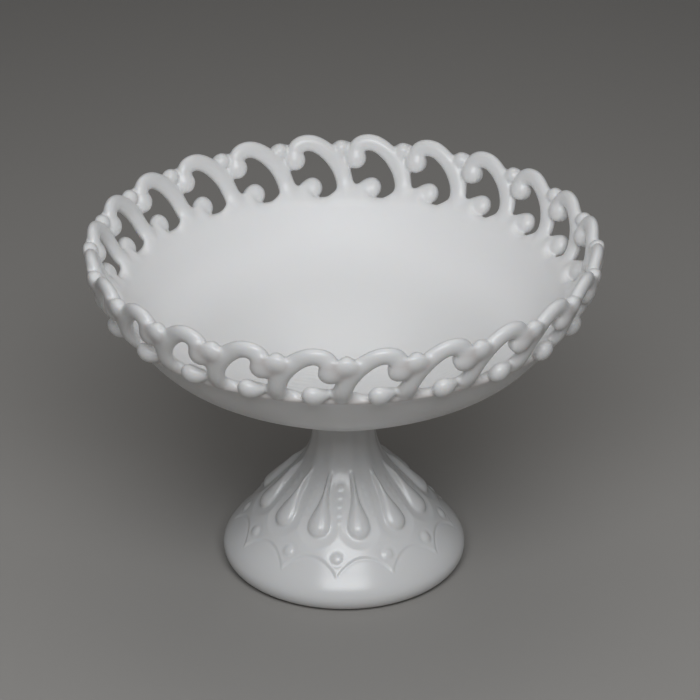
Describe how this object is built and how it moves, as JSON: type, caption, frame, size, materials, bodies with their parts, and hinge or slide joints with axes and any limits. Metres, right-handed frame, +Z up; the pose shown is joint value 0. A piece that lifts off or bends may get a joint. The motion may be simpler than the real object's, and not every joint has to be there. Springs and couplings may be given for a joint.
{
  "type": "cake stand",
  "caption": "Footed cake stand in opaque white glass: shallow bowl on a bell-shaped hollow foot, with an open lace edge of hooked scrolls, beads and drops.",
  "frame": {"origin": "centre of the foot's resting ring, on the table plane", "axes": "+Z up along the stem; the beads of the edge are spaced evenly round it, the first one just counter-clockwise of +X"},
  "size_m": [0.2536, 0.2536, 0.1774],
  "materials": {
    "milk_glass": "opaque white pressed glass, fire-polished gloss"
  },
  "bodies": {
    "root": {"pedestal_foot": "milk_glass", "bowl": "milk_glass", "rim_scroll_01": "milk_glass", "rim_scroll_02": "milk_glass", "rim_scroll_03": "milk_glass", "rim_scroll_04": "milk_glass", "rim_scroll_05": "milk_glass", "rim_scroll_06": "milk_glass", "rim_scroll_07": "milk_glass", "rim_scroll_08": "milk_glass", "rim_scroll_09": "milk_glass", "rim_scroll_10": "milk_glass", "rim_scroll_11": "milk_glass", "rim_scroll_12": "milk_glass", "rim_scroll_13": "milk_glass", "rim_scroll_14": "milk_glass", "rim_scroll_15": "milk_glass", "rim_scroll_16": "milk_glass", "rim_scroll_17": "milk_glass", "rim_scroll_18": "milk_glass", "rim_scroll_19": "milk_glass", "rim_scroll_20": "milk_glass", "rim_scroll_21": "milk_glass", "rim_scroll_22": "milk_glass", "rim_scroll_23": "milk_glass", "rim_scroll_24": "milk_glass", "rim_drop_01": "milk_glass", "rim_drop_02": "milk_glass", "rim_drop_03": "milk_glass", "rim_drop_04": "milk_glass", "rim_drop_05": "milk_glass", "rim_drop_06": "milk_glass", "rim_drop_07": "milk_glass", "rim_drop_08": "milk_glass", "rim_drop_09": "milk_glass", "rim_drop_10": "milk_glass", "rim_drop_11": "milk_glass", "rim_drop_12": "milk_glass", "rim_drop_13": "milk_glass", "rim_drop_14": "milk_glass", "rim_drop_15": "milk_glass", "rim_drop_16": "milk_glass", "rim_drop_17": "milk_glass", "rim_drop_18": "milk_glass", "rim_drop_19": "milk_glass", "rim_drop_20": "milk_glass", "rim_drop_21": "milk_glass", "rim_drop_22": "milk_glass", "rim_drop_23": "milk_glass", "rim_drop_24": "milk_glass"}
  },
  "joints": []
}
